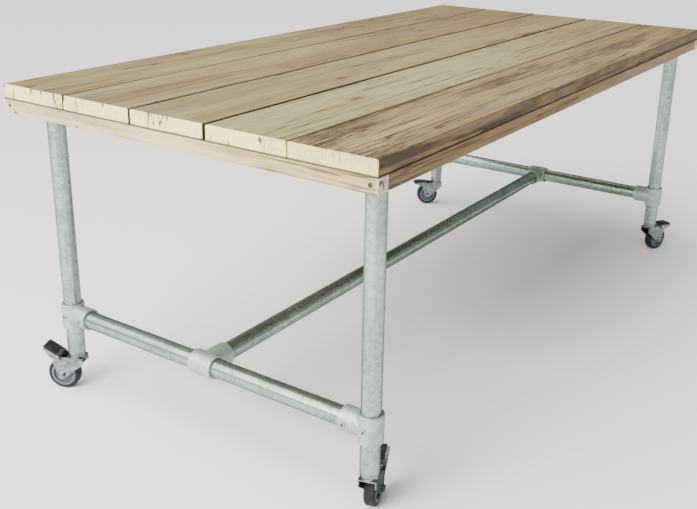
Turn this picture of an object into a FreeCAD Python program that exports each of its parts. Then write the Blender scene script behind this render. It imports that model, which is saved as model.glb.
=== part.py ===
import FreeCAD, Part
import math
import os
import re
import Sketcher

# Plank-topped dining table on a tube frame with four braked swivel castors.
# Millimetres. Origin: bottom centre of the table on the floor. +X runs along the length,
# -Y is the front long side, +Z is up.

DIMENSIONS = {
    # table top
    "TableLength": 2000,
    "TableHeight": 786,
    "PlankWidth": 195,
    "PlankThick": 32,
    "GapOne": 4,
    "GapTwo": 6,
    "GapThree": 8,
    "GapFour": 2,
    "PlankEase": 1.5,
    # edge laths and battens under the planks
    "LathWidth": 32,
    "LathThick": 32,
    "BattenWidth": 110,
    "BoreClearance": 0.5,
    # wood screws
    "ScrewDiameter": 5,
    "ScrewHead": 10,
    "ScrewLength": 50,
    "ScrewTip": 6,
    "ScrewSpread": 30,
    "ScrewClearance": 0.1,
    "ScrewEndSpace": 150,
    "CornerScrewLength": 70,
    "CornerScrewRecess": 3,
    # tube frame
    "TubeDiameter": 42.4,
    "TubeWall": 2.9,
    "LegBehindEndLath": 33.8,
    "LegBehindSideLath": 4.8,
    "RailHeight": 205,
    "RailToLeg": 4.8,
    "SpigotLength": 40,
    "SpigotClearance": 0.3,
    # tube fittings
    "TeeClearance": 0.6,
    "TeeWall": 5.7,
    "TeeSocketStep": 0.5,
    "TeeShoulder": 4.5,
    "TeeSocketLength": 36.5,
    "TeeBlend": 3,
    "TeeRim": 1,
    "BossDiameter": 13,
    "BossHeight": 2.5,
    "BossFromMouth": 14,
    "GrubDiameter": 8,
    "GrubClearance": 0.1,
    "GrubSocket": 4,
    "GrubSocketDepth": 3.5,
    "GrubSink": 1,
    # castor head
    "ExpanderLength": 38,
    "CollarThick": 4,
    "RaceDiameter": 40,
    "RaceThick": 4.5,
    "RaceGap": 0.8,
    "DishHeight": 4.7,
    "KingpinDiameter": 10,
    "KingpinClearance": 0.08,
    "KingpinHead": 18,
    "KingpinHeadThick": 3,
    "KingpinHeadGap": 0.3,
    "BallDiameter": 4,
    "BallPitchRadius": 14,
    "BallClearance": 0.1,
    # castor fork
    "CrownThick": 3,
    "CrownClearance": 7,
    "CrownReach": 22,
    "ForkSheet": 2.5,
    "ForkSkirt": 17,
    "ForkBoss": 10,
    "ForkTail": 22,
    "Trail": 36,
    # wheel
    "WheelDiameter": 80,
    "TyreWidth": 25,
    "TyreDepth": 9,
    "TyreShoulder": 4,
    "HubWidth": 32,
    "HubSideGap": 1,
    "HubBossRadius": 11,
    "HubRimThick": 6,
    "HubWebThick": 15,
    "HubRingRadius": 19,
    "HubRingWidth": 2,
    "HubRingHeight": 1.5,
    "BushDiameter": 12,
    "AxleDiameter": 8,
    "AxleClearance": 0.08,
    "AxleFlats": 13,
    "AxleHeadThick": 5,
    "AxleNutThick": 6.5,
    "AxleSpare": 2,
    # brake pedal
    "PinDiameter": 5,
    "PinBeyondAxle": 6,
    "PinBelowTop": 4,
    "PinHead": 9,
    "PinHeadThick": 1.5,
    "PedalSheet": 2,
    "PedalSideGap": 0.8,
    "PedalReach": 46,
    "PedalRise": 7.2,
    "PedalDrop": 3,
    "PedalStart": 1.5,
    "PedalDepth": 9,
    "PedalTravel": 35,
    "ShoeWidth": 18,
    "ShoeStart": 6,
    "ShoeEnd": 20,
    "ShoeGap": 0.3,
    "PadStart": 14,
    "PadThick": 4,
    "PadOverhang": 3,
    "PadWidth": 32,
    # which way each castor trails, in degrees from +X towards +Y
    "HeadingFL": 18,
    "HeadingBL": 116,
    "HeadingFR": -25,
    "HeadingBR": 130,
}

PLANKS = 5
GAPS = ["GapOne", "GapTwo", "GapThree", "GapFour"]
BALLS = 16
SIDE_LATH_SCREWS = 6

# corner: (side along X, side along Y, heading, pedal raised)
CORNERS = {
    "fl": (-1, -1, "HeadingFL", True),
    "bl": (-1, 1, "HeadingBL", True),
    "fr": (1, -1, "HeadingFR", False),
    "br": (1, 1, "HeadingBR", False),
}
ENDS = {"left": -1, "right": 1}

# places worked out from the sheet, as expressions
HALF_LENGTH = "(TableLength / 2)"
HALF_WIDTH = "((" + str(PLANKS) + " * PlankWidth + " + " + ".join(GAPS) + ") / 2)"
PLANK_UNDER = "(TableHeight - PlankThick)"
LATH_UNDER = "(TableHeight - PlankThick - LathThick)"
LEG_X = "(TableLength / 2 - LathWidth - LegBehindEndLath - TubeDiameter / 2)"
LEG_Y = "(" + HALF_WIDTH + " - LathWidth - LegBehindSideLath - TubeDiameter / 2)"
RAIL_STOP = "(TubeDiameter / 2 + RailToLeg)"
TUBE_INNER = "(TubeDiameter - 2 * TubeWall)"
TEE_BORE = "(TubeDiameter / 2 + TeeClearance)"
TEE_RADIUS = "(" + TEE_BORE + " + TeeWall)"
SOCKET_RADIUS = "(" + TEE_RADIUS + " - TeeSocketStep)"
TEE_LENGTH = "(2 * " + SOCKET_RADIUS + " + 2 * TeeShoulder)"
TEE_REACH = "(" + TEE_RADIUS + " + TeeSocketLength)"
BOSS_TOP = "(" + TEE_RADIUS + " + BossHeight)"
AXLE_Z = "(WheelDiameter / 2)"
CROWN_UNDER = "(WheelDiameter + CrownClearance)"
FORK_TOP = "(" + CROWN_UNDER + " + CrownThick)"
DISH_TOP = "(" + FORK_TOP + " + DishHeight)"
RACE_UNDER = "(" + DISH_TOP + " + RaceGap)"
COLLAR_UNDER = "(" + RACE_UNDER + " + RaceThick)"
TUBE_END = "(" + COLLAR_UNDER + " + CollarThick)"
BALL_Z = "(" + DISH_TOP + " + RaceGap / 2)"
FORK_INNER = "(HubWidth + 2 * HubSideGap)"
FORK_OUTER = "(" + FORK_INNER + " + 2 * ForkSheet)"
PIN_X = "(Trail + PinBeyondAxle)"
PIN_Z = "(" + FORK_TOP + " - PinBelowTop)"
PEDAL_INNER = "(" + FORK_OUTER + " + 2 * PedalSideGap)"
PEDAL_OUTER = "(" + PEDAL_INNER + " + 2 * PedalSheet)"
HUB_RADIUS = "(WheelDiameter / 2 - TyreDepth)"
BUSH_BORE = "(AxleDiameter / 2 + AxleClearance)"

doc = FreeCAD.newDocument("plank_table")
sheet = doc.addObject("Spreadsheet::Sheet", "Sheet")
nodes = []

X_AXIS = FreeCAD.Vector(1, 0, 0)
Y_AXIS = FreeCAD.Vector(0, 1, 0)
Z_AXIS = FreeCAD.Vector(0, 0, 1)
ALONG = {
    "x": FreeCAD.Rotation(Y_AXIS, 90),
    "y": FreeCAD.Rotation(X_AXIS, -90),
    "z": FreeCAD.Rotation(),
}


# ---------------------------------------------------------------- helpers

def fill_sheet():
    """Write the driving dimensions into the sheet, one named cell each."""
    for row, (name, size) in enumerate(DIMENSIONS.items(), start=1):
        sheet.set("A" + str(row), name)
        sheet.set("B" + str(row), str(size))
        sheet.setAlias("B" + str(row), name)
    doc.recompute()


def linked(expression):
    """Turn the names in an expression into references to the sheet."""
    return re.sub(r"\b[A-Z][A-Za-z]+\b", lambda name: "Sheet." + name.group(0), expression)


def value(expression):
    """Work out an expression now."""
    result = sheet.evalExpression(linked(expression))
    return float(getattr(result, "Value", result))


def bind(item, **expressions):
    """Tie properties of an object to the sheet."""
    for name, expression in expressions.items():
        item.setExpression(name, linked(expression))
    return item


def place(item, x="0", y="0", z="0", rotation=None):
    """Turn an object, then tie its position to the sheet."""
    item.Placement = FreeCAD.Placement(FreeCAD.Vector(), rotation or FreeCAD.Rotation())
    for axis, expression in (("x", x), ("y", y), ("z", z)):
        item.setExpression("Placement.Base." + axis, linked(expression))
    return item


def box(name, size, low):
    item = doc.addObject("Part::Box", name)
    bind(item, Length=size[0], Width=size[1], Height=size[2])
    return place(item, *low)


def cylinder(name, radius, height, base=("0", "0", "0"), along="z"):
    item = doc.addObject("Part::Cylinder", name)
    bind(item, Radius=radius, Height=height)
    return place(item, *base, rotation=ALONG[along])


def hexagon(name, flats, height, base, along):
    item = doc.addObject("Part::Prism", name)
    item.Polygon = 6
    bind(item, Circumradius=flats + " / (2 * cos(30))", Height=height)
    return place(item, *base, rotation=ALONG[along])


def cut(name, base, tool):
    item = doc.addObject("Part::Cut", name)
    item.Base = base
    item.Tool = tool
    return item


def joined(name, shapes):
    item = doc.addObject("Part::MultiFuse", name)
    item.Shapes = shapes
    return item


def together(name, items):
    """Keep separate solids in one object."""
    item = doc.addObject("Part::Compound", name)
    item.Links = items
    return item


def fixed_shape(name, shapes):
    """An object for many repeated solids placed in code."""
    item = doc.addObject("Part::Feature", name)
    item.Shape = Part.makeCompound(shapes)
    return item


def node(item, label):
    """Mark an object as one of the table's pieces."""
    item.Label = label
    nodes.append(item)
    return item


def outline(body, name, plane_role, points):
    """A closed straight-sided sketch with every corner tied to the sheet."""
    sketch = body.newObject("Sketcher::SketchObject", name)
    plane = next(item for item in body.Origin.OriginFeatures if item.Role == plane_role)
    sketch.AttachmentSupport = [(plane, "")]
    sketch.MapMode = "FlatFace"
    corners = [FreeCAD.Vector(value(x), value(y), 0) for x, y in points]
    for index, corner in enumerate(corners):
        sketch.addGeometry(Part.LineSegment(corner, corners[(index + 1) % len(corners)]), False)
    for index in range(len(corners)):
        following = (index + 1) % len(corners)
        sketch.addConstraint(Sketcher.Constraint("Coincident", index, 2, following, 1))
    for index, (x, y) in enumerate(points):
        for kind, expression in (("DistanceX", x), ("DistanceY", y)):
            number = sketch.addConstraint(
                Sketcher.Constraint(kind, -1, 1, index, 1, value(expression)))
            sketch.setExpression("Constraints[" + str(number) + "]", linked(expression))
    return sketch


def ring(body, name, plane_role, x, y, radius, lift="0"):
    """A one-circle sketch with its centre and radius tied to the sheet."""
    sketch = body.newObject("Sketcher::SketchObject", name)
    plane = next(item for item in body.Origin.OriginFeatures if item.Role == plane_role)
    sketch.AttachmentSupport = [(plane, "")]
    sketch.MapMode = "FlatFace"
    sketch.setExpression("AttachmentOffset.Base.z", linked(lift))
    centre = FreeCAD.Vector(value(x), value(y), 0)
    sketch.addGeometry(Part.Circle(centre, Z_AXIS, value(radius)), False)
    for constraint, expression in (
            (Sketcher.Constraint("DistanceX", -1, 1, 0, 3, centre.x), x),
            (Sketcher.Constraint("DistanceY", -1, 1, 0, 3, centre.y), y),
            (Sketcher.Constraint("Radius", 0, value(radius)), radius)):
        number = sketch.addConstraint(constraint)
        sketch.setExpression("Constraints[" + str(number) + "]", linked(expression))
    return sketch


def through(body, kind, name, sketch, width):
    """Pad or pocket a sketch equally to both sides of its plane."""
    feature = body.newObject("PartDesign::" + kind, name)
    feature.Profile = sketch
    feature.Midplane = True
    bind(feature, Length=width)
    return feature


def turned(body, kind, name, sketch):
    """Revolve a sketch, or cut a groove, about the sketch's own vertical axis."""
    feature = body.newObject("PartDesign::" + kind, name)
    feature.Profile = sketch
    feature.ReferenceAxis = (sketch, ["V_Axis"])
    feature.Angle = 360
    return feature


def corner_place(corner):
    """The leg axis of a corner, as expressions."""
    side_x, side_y = CORNERS[corner][:2]
    return str(side_x) + " * " + LEG_X, str(side_y) + " * " + LEG_Y


def swivelled(corner, item, x="0", z="0", tilt=0):
    """Put a castor piece on its corner, turned to the castor's heading."""
    leg_x, leg_y = corner_place(corner)
    heading = CORNERS[corner][2]
    return place(
        item,
        leg_x + " + " + x + " * cos(" + heading + ")",
        leg_y + " + " + x + " * sin(" + heading + ")",
        z,
        FreeCAD.Rotation(value(heading), -tilt, 0))


# ---------------------------------------------------------------- wood screws

def screw(at, direction, length, recess, clearance):
    """A countersunk wood screw, or with a clearance the hole it leaves."""
    radius = value("ScrewDiameter / 2") + clearance
    head = value("ScrewHead / 2") + clearance
    tip = value("ScrewTip")
    start = at + direction * recess
    solid = Part.makeCone(head, radius, head - radius, start, direction)
    solid = solid.fuse(Part.makeCylinder(radius, length - tip, start, direction))
    point = Part.makeCone(radius, 0.2 + clearance, tip + clearance,
                          start + direction * (length - tip), direction)
    solid = solid.fuse(point)
    if clearance:
        mouth = Part.makeCylinder(head, recess + 1, at - direction, direction)
        solid = solid.fuse(mouth)
    return solid.removeSplitter()


def plank_back_edges():
    """Y of each plank's back edge, from the back plank to the front one."""
    edges = []
    for index in range(PLANKS):
        gaps = "".join(" - " + gap for gap in GAPS[:index])
        edges.append("(" + HALF_WIDTH + " - " + str(index) + " * PlankWidth" + gaps + ")")
    return edges


def plank_centres():
    return [value(edge + " - PlankWidth / 2") for edge in plank_back_edges()]


def batten_screw_places():
    """Two screws from each batten into each plank."""
    under = value(LATH_UNDER)
    spread = value("ScrewSpread")
    for centre in (-value(LEG_X), 0, value(LEG_X)):
        for y in plank_centres():
            for side in (-spread, spread):
                yield FreeCAD.Vector(centre + side, y, under)


def lath_screw_places():
    """Screws from the edge laths up into the planks."""
    under = value(LATH_UNDER)
    middle_y = value(HALF_WIDTH + " - LathWidth / 2")
    middle_x = value(HALF_LENGTH + " - LathWidth / 2")
    first = value(HALF_LENGTH + " - ScrewEndSpace")
    for side in (-1, 1):
        for index in range(SIDE_LATH_SCREWS):
            x = -first + 2 * first * index / (SIDE_LATH_SCREWS - 1)
            yield FreeCAD.Vector(x, side * middle_y, under)
        for y in plank_centres():
            yield FreeCAD.Vector(side * middle_x, y, under)


def corner_screw_places():
    """Screws through the end laths into the ends of the side laths."""
    middle_y = value(HALF_WIDTH + " - LathWidth / 2")
    middle_z = value(LATH_UNDER + " + LathThick / 2")
    for side_x in (-1, 1):
        for side_y in (-1, 1):
            at = FreeCAD.Vector(side_x * value(HALF_LENGTH), side_y * middle_y, middle_z)
            yield at, X_AXIS * -side_x


def spigot_screw_places():
    """One screw up through each leg spigot."""
    for side_x, side_y, _, _ in CORNERS.values():
        x = side_x * value(LEG_X)
        y = side_y * value(LEG_Y)
        yield FreeCAD.Vector(x, y, value(PLANK_UNDER + " - SpigotLength"))


def all_screws(clearance):
    """Every screw by node, or with a clearance every hole."""
    length = value("ScrewLength")
    long_screw = value("CornerScrewLength")
    recess = value("CornerScrewRecess")
    spigot_screw = value("SpigotLength + PlankThick * 3 / 4")
    return {
        "batten_screws": [screw(at, Z_AXIS, length, 0, clearance) for at in batten_screw_places()],
        "lath_screws": [screw(at, Z_AXIS, length, 0, clearance) for at in lath_screw_places()],
        "corner_screws": [screw(at, inward, long_screw, recess, clearance)
                          for at, inward in corner_screw_places()],
        "spigot_screws": [screw(at, Z_AXIS, spigot_screw, 0, clearance)
                          for at in spigot_screw_places()],
    }


def make_screws():
    for name, screws in all_screws(0).items():
        node(fixed_shape(name, screws), name)
    holes = all_screws(value("ScrewClearance"))
    return fixed_shape("screw_holes", [hole for group in holes.values() for hole in group])


# ---------------------------------------------------------------- wood

def eased(name, board):
    """Take the sharpness off the long edges of a board."""
    doc.recompute()
    edges = []
    for number, edge in enumerate(board.Shape.Edges, start=1):
        if abs(edge.tangentAt(edge.FirstParameter).x) > 0.99:
            edges.append((number, value("PlankEase"), value("PlankEase")))
    item = doc.addObject("Part::Fillet", name)
    item.Base = board
    item.Edges = edges
    return item


def make_planks(holes):
    for index, back in enumerate(plank_back_edges(), start=1):
        name = "plank_" + str(index)
        blank = box(name + "_blank", ("TableLength", "PlankWidth", "PlankThick"),
                    ("-" + HALF_LENGTH, back + " - PlankWidth", PLANK_UNDER))
        node(cut(name + "_drilled", eased(name + "_eased", blank), holes), name)


def make_laths(holes):
    for end, side in ENDS.items():
        name = "end_lath_" + end
        low_x = "-" + HALF_LENGTH if side < 0 else HALF_LENGTH + " - LathWidth"
        blank = box(name + "_blank", ("LathWidth", "2 * " + HALF_WIDTH, "LathThick"),
                    (low_x, "-" + HALF_WIDTH, LATH_UNDER))
        node(cut(name + "_drilled", blank, holes), name)
    for long_side, low_y in (("front", "-" + HALF_WIDTH), ("back", HALF_WIDTH + " - LathWidth")):
        name = "side_lath_" + long_side
        blank = box(name + "_blank", ("TableLength - 2 * LathWidth", "LathWidth", "LathThick"),
                    ("LathWidth - " + HALF_LENGTH, low_y, LATH_UNDER))
        node(cut(name + "_drilled", blank, holes), name)


def make_battens(holes):
    """Cross battens between the side laths. The end ones fill the space round the legs."""
    length = "(2 * " + HALF_WIDTH + " - 2 * LathWidth)"
    end_width = "(2 * LegBehindEndLath + TubeDiameter)"
    for name, width, centre in (
            ("left", end_width, "-" + LEG_X),
            ("middle", "BattenWidth", "0"),
            ("right", end_width, LEG_X)):
        name = "cross_batten_" + name
        blank = box(name + "_blank", (width, length, "LathThick"),
                    (centre + " - " + width + " / 2", "-" + length + " / 2", LATH_UNDER))
        board = blank
        if centre != "0":
            bores = [cylinder(name + "_bore", "TubeDiameter / 2 + BoreClearance", "LathThick",
                              (centre, side + " * " + LEG_Y, LATH_UNDER)) for side in ("-1", "1")]
            board = cut(name + "_bored", blank, together(name + "_bores", bores))
        node(cut(name + "_drilled", board, holes), name)


# ---------------------------------------------------------------- tube frame

def tube(name, length, base, along):
    outer = cylinder(name + "_outer", "TubeDiameter / 2", length, base, along)
    inner = cylinder(name + "_inner", TUBE_INNER + " / 2", length, base, along)
    return node(cut(name + "_cut", outer, inner), name)


def make_tubes():
    for corner in CORNERS:
        leg_x, leg_y = corner_place(corner)
        tube("leg_" + corner, PLANK_UNDER + " - " + TUBE_END, (leg_x, leg_y, TUBE_END), "z")
    for end, side in ENDS.items():
        tube("end_rail_" + end, "2 * (" + LEG_Y + " - " + RAIL_STOP + ")",
             (str(side) + " * " + LEG_X, RAIL_STOP + " - " + LEG_Y, "RailHeight"), "y")
    tube("stretcher", "2 * (" + LEG_X + " - " + RAIL_STOP + ")",
         (RAIL_STOP + " - " + LEG_X, "0", "RailHeight"), "x")


def make_spigots():
    """Turned plugs screwed to the planks, which the leg tubes slide over."""
    spigots = []
    bores = []
    for corner in CORNERS:
        leg_x, leg_y = corner_place(corner)
        base = (leg_x, leg_y, PLANK_UNDER + " - SpigotLength")
        spigots.append(cylinder("spigot_" + corner, TUBE_INNER + " / 2 - SpigotClearance",
                                "SpigotLength", base))
    item = cut("spigots_drilled", together("spigots", spigots), doc.getObject("screw_holes"))
    node(item, "leg_spigots")


def boss_places():
    """Distance of the two grub screws of a tee from its sleeve axis, along the socket."""
    return ["0", "(" + TEE_REACH + " - BossFromMouth)"]


def make_tee(name, x, y, rotation):
    """A tube tee: sleeve along its own Z, socket towards its own +Y, bosses on its +X side."""
    sleeve_low = ("0", "0", "-" + TEE_LENGTH + " / 2")
    sleeve = cylinder(name + "_sleeve", TEE_RADIUS, TEE_LENGTH, sleeve_low)
    socket = cylinder(name + "_socket", SOCKET_RADIUS, TEE_REACH, along="y")
    sleeve_bore = cylinder(name + "_sleeve_bore", TEE_BORE, TEE_LENGTH, sleeve_low)
    socket_bore = cylinder(name + "_socket_bore", TEE_BORE, TEE_REACH, along="y")
    bored = cut(name + "_bored", joined(name + "_blank", [sleeve, socket]),
                joined(name + "_bores", [sleeve_bore, socket_bore]))
    doc.recompute()
    blend = min(value("TeeBlend"), value("TeeShoulder - TeeRim * 3 / 2"))
    blended = doc.addObject("Part::Fillet", name + "_blended")
    blended.Base = bored
    blended.Edges = [(number, blend, blend)
                     for number, edge in enumerate(bored.Shape.Edges, start=1)
                     if edge.Curve.TypeId == "Part::GeomBSplineCurve"
                     and edge.BoundBox.ZMax > value(SOCKET_RADIUS) - 0.1]
    doc.recompute()
    rims = []
    for number, edge in enumerate(blended.Shape.Edges, start=1):
        middle = edge.CenterOfMass
        at_end = abs(middle.z) > value(TEE_LENGTH) / 2 - 0.01 or middle.y > value(TEE_REACH) - 0.01
        if edge.Curve.TypeId == "Part::GeomCircle" and at_end:
            if edge.Curve.Radius > value(SOCKET_RADIUS) - 0.1:
                rims.append((number, value("TeeRim"), value("TeeRim")))
    rimmed = doc.addObject("Part::Chamfer", name + "_rimmed")
    rimmed.Base = blended
    rimmed.Edges = rims
    wall_middle = "((" + SOCKET_RADIUS + " + " + TEE_BORE + ") / 2)"
    boss_length = "(" + BOSS_TOP + " - " + wall_middle + ")"
    thread_length = "(" + BOSS_TOP + " - " + TEE_BORE + " + 2)"
    thread_start = "(" + TEE_BORE + " - 1)"
    body = rimmed
    for number, distance in enumerate(boss_places(), start=1):
        boss = cylinder(name + "_boss_" + str(number), "BossDiameter / 2", boss_length,
                        (wall_middle, distance, "0"), "x")
        body = joined(name + "_bossed_" + str(number), [body, boss])
    for number, distance in enumerate(boss_places(), start=1):
        thread = cylinder(name + "_thread_" + str(number), "GrubDiameter / 2 + GrubClearance",
                          thread_length, (thread_start, distance, "0"), "x")
        body = cut(name + "_threaded_" + str(number), body, thread)
    place(body, x, y, "RailHeight", rotation)
    return node(body, name)


def make_tees():
    """Corner tees with their bosses outward, and middle tees with theirs underneath."""
    tees = []
    for corner, (side_x, side_y, _, _) in CORNERS.items():
        leg_x, leg_y = corner_place(corner)
        turn = FreeCAD.Rotation(X_AXIS * side_x, Y_AXIS * -side_y, Z_AXIS, "XYZ")
        tees.append(make_tee("corner_tee_" + corner, leg_x, leg_y, turn))
    for end, side in ENDS.items():
        turn = FreeCAD.Rotation(Z_AXIS * -1, X_AXIS * -side, Y_AXIS, "XYZ")
        tees.append(make_tee("middle_tee_" + end, str(side) + " * " + LEG_X, "0", turn))
    return tees


def make_grub_screws(tees):
    """Socket grub screws clamping the tubes in the tees."""
    doc.recompute()
    radius = value("GrubDiameter / 2")
    seat = value("TubeDiameter / 2")
    top = value(BOSS_TOP + " - GrubSink")
    depth = value("GrubSocketDepth")
    corner_radius = value("GrubSocket") / (2 * math.cos(math.radians(30)))
    hexagon_points = [FreeCAD.Vector(top - depth, corner_radius * math.cos(math.radians(60 * step)),
                                     corner_radius * math.sin(math.radians(60 * step)))
                      for step in range(7)]
    key = Part.Face(Part.makePolygon(hexagon_points)).extrude(X_AXIS * (depth + 1))
    grub = Part.makeCylinder(radius, top - seat, X_AXIS * seat, X_AXIS).cut(key)
    screws = []
    for tee in tees:
        for distance in boss_places():
            local = FreeCAD.Placement(Y_AXIS * value(distance), FreeCAD.Rotation())
            placed = grub.copy()
            placed.Placement = tee.Placement.multiply(local)
            screws.append(placed)
    node(fixed_shape("grub_screws", screws), "grub_screws")


# ---------------------------------------------------------------- castor heads

def castor_insert(corner):
    """Expander plug with collar, and the kingpin that carries the fork."""
    head_top = CROWN_UNDER + " - KingpinHeadGap"
    pieces = [
        cylinder("expander_" + corner, TUBE_INNER + " / 2 - SpigotClearance", "ExpanderLength",
                 ("0", "0", TUBE_END)),
        cylinder("collar_" + corner, "TubeDiameter / 2", "CollarThick", ("0", "0", COLLAR_UNDER)),
        cylinder("kingpin_" + corner, "KingpinDiameter / 2",
                 COLLAR_UNDER + " - " + head_top, ("0", "0", head_top)),
        cylinder("kingpin_head_" + corner, "KingpinHead / 2", "KingpinHeadThick",
                 ("0", "0", head_top + " - KingpinHeadThick")),
    ]
    return place(joined("insert_" + corner, pieces), *corner_place(corner))


def ball_track(name):
    """The ring of space that the balls run in."""
    track = doc.addObject("Part::Torus", name)
    bind(track, Radius1="BallPitchRadius", Radius2="BallDiameter / 2 + BallClearance")
    return place(track, z=BALL_Z)


def castor_race(corner):
    """Fixed upper race under the collar."""
    blank = cylinder("race_blank_" + corner, "RaceDiameter / 2", "RaceThick", ("0", "0", RACE_UNDER))
    bore = cylinder("race_bore_" + corner, "KingpinDiameter / 2 + KingpinClearance", "RaceThick",
                    ("0", "0", RACE_UNDER))
    tools = together("race_tools_" + corner, [bore, ball_track("race_track_" + corner)])
    return place(cut("race_" + corner, blank, tools), *corner_place(corner))


def castor_balls():
    """The balls between the races of all four castors."""
    balls = []
    pitch = value("BallPitchRadius")
    for side_x, side_y, _, _ in CORNERS.values():
        for step in range(BALLS):
            angle = 2 * math.pi * step / BALLS
            centre = FreeCAD.Vector(side_x * value(LEG_X) + pitch * math.cos(angle),
                                    side_y * value(LEG_Y) + pitch * math.sin(angle), value(BALL_Z))
            balls.append(Part.makeSphere(value("BallDiameter / 2"), centre))
    return balls


def make_castor_heads():
    node(together("inserts", [castor_insert(corner) for corner in CORNERS]), "castor_inserts")
    node(together("races", [castor_race(corner) for corner in CORNERS]), "castor_races")
    node(fixed_shape("balls", castor_balls()), "swivel_balls")


# ---------------------------------------------------------------- castor forks and wheels

def make_fork(corner):
    """Pressed fork: crown with the lower race dish, and two tapering cheeks."""
    body = doc.addObject("PartDesign::Body", "fork_body_" + corner)
    rear = "(-RaceDiameter / 2)"
    profile = outline(body, "cheek_outline_" + corner, "XZ_Plane", [
        (rear, FORK_TOP),
        (rear, FORK_TOP + " - ForkSkirt"),
        ("Trail - ForkBoss * 0.8", AXLE_Z + " - ForkBoss * 0.6"),
        ("Trail + ForkBoss * 0.8", AXLE_Z + " - ForkBoss * 0.6"),
        ("Trail + ForkTail", FORK_TOP + " - ForkSkirt"),
        (PIN_X + " + PinDiameter", FORK_TOP),
    ])
    through(body, "Pad", "cheeks_" + corner, profile, FORK_OUTER)
    boss = ring(body, "axle_boss_" + corner, "XZ_Plane", "Trail", AXLE_Z, "ForkBoss")
    through(body, "Pad", "boss_" + corner, boss, FORK_OUTER)
    dish = ring(body, "dish_ring_" + corner, "XY_Plane", "0", "0", "RaceDiameter / 2", FORK_TOP)
    raised = body.newObject("PartDesign::Pad", "dish_" + corner)
    raised.Profile = dish
    bind(raised, Length="DishHeight")
    hollow = outline(body, "hollow_outline_" + corner, "XZ_Plane", [
        (rear + " - 1", "-1"),
        (rear + " - 1", CROWN_UNDER),
        ("CrownReach", CROWN_UNDER),
        ("CrownReach", FORK_TOP + " + 1"),
        ("Trail + ForkTail + ForkBoss", FORK_TOP + " + 1"),
        ("Trail + ForkTail + ForkBoss", "-1"),
    ])
    through(body, "Pocket", "hollow_" + corner, hollow, FORK_INNER)
    bore = ring(body, "kingpin_ring_" + corner, "XY_Plane", "0", "0",
                "KingpinDiameter / 2 + KingpinClearance", FORK_TOP)
    through(body, "Pocket", "kingpin_bore_" + corner, bore, "4 * (CrownThick + DishHeight)")
    track = ring(body, "track_ring_" + corner, "XZ_Plane", "BallPitchRadius", BALL_Z,
                 "BallDiameter / 2 + BallClearance")
    turned(body, "Groove", "track_" + corner, track)
    axle = ring(body, "axle_ring_" + corner, "XZ_Plane", "Trail", AXLE_Z, BUSH_BORE)
    through(body, "Pocket", "axle_hole_" + corner, axle, FORK_OUTER + " + 2")
    pin = ring(body, "pin_ring_" + corner, "XZ_Plane", PIN_X, PIN_Z,
               "PinDiameter / 2 + AxleClearance")
    through(body, "Pocket", "pin_hole_" + corner, pin, FORK_OUTER + " + 2")
    node(swivelled(corner, body), "fork_" + corner)


def make_axle_set(corner):
    """Axle bolt, bush and nut, and the pedal's hinge pin."""
    def across(name, radius, length, x, z, start):
        return cylinder(name + "_" + corner, radius, length, (x, start, z), "y")

    shaft_length = FORK_OUTER + " + AxleNutThick + AxleSpare"
    shaft = across("axle_shaft", "AxleDiameter / 2", shaft_length, "Trail", AXLE_Z,
                   "-" + FORK_OUTER + " / 2")
    head = hexagon("axle_head_" + corner, "AxleFlats", "AxleHeadThick",
                   ("Trail", "-" + FORK_OUTER + " / 2 - AxleHeadThick", AXLE_Z), "y")
    bolt = joined("axle_bolt_" + corner, [shaft, head])
    nut = cut("axle_nut_" + corner,
              hexagon("nut_blank_" + corner, "AxleFlats", "AxleNutThick",
                      ("Trail", FORK_OUTER + " / 2", AXLE_Z), "y"),
              across("nut_bore", BUSH_BORE, "AxleNutThick", "Trail", AXLE_Z, FORK_OUTER + " / 2"))
    bush = cut("axle_bush_" + corner,
               across("bush_blank", "BushDiameter / 2", FORK_INNER, "Trail", AXLE_Z,
                      "-" + FORK_INNER + " / 2"),
               across("bush_bore", BUSH_BORE, FORK_INNER, "Trail", AXLE_Z, "-" + FORK_INNER + " / 2"))
    pin_span = "(" + PEDAL_OUTER + " + 2 * AxleClearance)"
    pin_heads = [across("pin_head_" + side, "PinHead / 2", "PinHeadThick", PIN_X, PIN_Z, start)
                 for side, start in (("near", "-" + pin_span + " / 2 - PinHeadThick"),
                                     ("far", pin_span + " / 2"))]
    pin = joined("pedal_pin_" + corner,
                 [across("pin_shaft", "PinDiameter / 2", pin_span, PIN_X, PIN_Z,
                         "-" + pin_span + " / 2")] + pin_heads)
    axle_set = together("axle_set_all_" + corner, [bolt, nut, bush, pin])
    node(swivelled(corner, axle_set), "axle_set_" + corner)


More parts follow.
